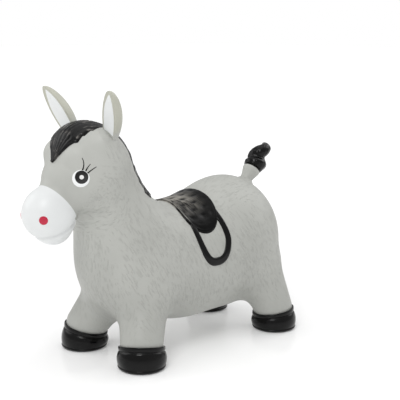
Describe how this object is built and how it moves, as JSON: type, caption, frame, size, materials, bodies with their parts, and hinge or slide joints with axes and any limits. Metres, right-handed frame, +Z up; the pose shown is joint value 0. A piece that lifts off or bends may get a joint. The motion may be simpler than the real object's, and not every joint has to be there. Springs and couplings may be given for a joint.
{
  "type": "inflatable ride-on horse hopper",
  "caption": "Hollow inflatable PVC ride-on horse with hooves, ears, tail tuft, moulded saddle and stirrups, and a plugged air valve under the belly.",
  "frame": {"origin": "on the floor under the middle of the whole toy's box", "axes": "+Z up, -Y the way the horse faces, +X to the horse's own left"},
  "size_m": [0.2896, 0.6272, 0.5109],
  "materials": {
    "grey_skin": "soft satin PVC",
    "ear_grey": "soft satin PVC",
    "white_paint": "satin white paint on PVC",
    "black_gloss": "gloss black paint on PVC",
    "saddle_black": "semi-gloss black paint on PVC, rubbed lighter on top",
    "red_paint": "red paint on PVC",
    "valve_white": "plain white PVC"
  },
  "bodies": {
    "body": {"barrel_skin": "grey_skin", "neck_skin": "grey_skin", "head_skin": "grey_skin", "muzzle_skin": "white_paint", "leg_front_left": "grey_skin", "leg_front_right": "grey_skin", "leg_hind_left": "grey_skin", "leg_hind_right": "grey_skin", "hoof_front_left": "black_gloss", "hoof_front_right": "black_gloss", "hoof_hind_left": "black_gloss", "hoof_hind_right": "black_gloss", "eye_left": "white_paint", "eye_right": "white_paint", "nostril_left": "red_paint", "nostril_right": "red_paint", "mane": "black_gloss", "forelock": "black_gloss", "saddle": "saddle_black", "stirrup_left": "black_gloss", "stirrup_right": "black_gloss", "valve_seat": "valve_white"},
    "left_ear": {"ear_left": "ear_grey"},
    "right_ear": {"ear_right": "ear_grey"},
    "tail": {"tail_stub": "grey_skin", "tail_tuft": "black_gloss"},
    "air_plug": {"valve_plug": "valve_white"}
  },
  "joints": [
    {"name": "left_ear_flex", "type": "hinge", "parent": "body", "child": "left_ear", "pos_m": [0.05348, -0.17296, 0.42469], "axis": [0.9063, 0, -0.4226], "range_deg": [-12, 12], "stiffness_Nm_per_rad": 0.6},
    {"name": "right_ear_flex", "type": "hinge", "parent": "body", "child": "right_ear", "pos_m": [-0.05348, -0.17296, 0.42469], "axis": [0.9063, 0, 0.4226], "range_deg": [-12, 12], "stiffness_Nm_per_rad": 0.6},
    {"name": "tail_flex", "type": "hinge", "parent": "body", "child": "tail", "pos_m": [0, 0.24118, 0.29583], "axis": [1, 0, 0], "range_deg": [-15, 15], "stiffness_Nm_per_rad": 3},
    {"name": "plug_pull", "type": "slide", "parent": "body", "child": "air_plug", "axis": [0, 0, -1], "range_m": [0, 0.03]}
  ]
}
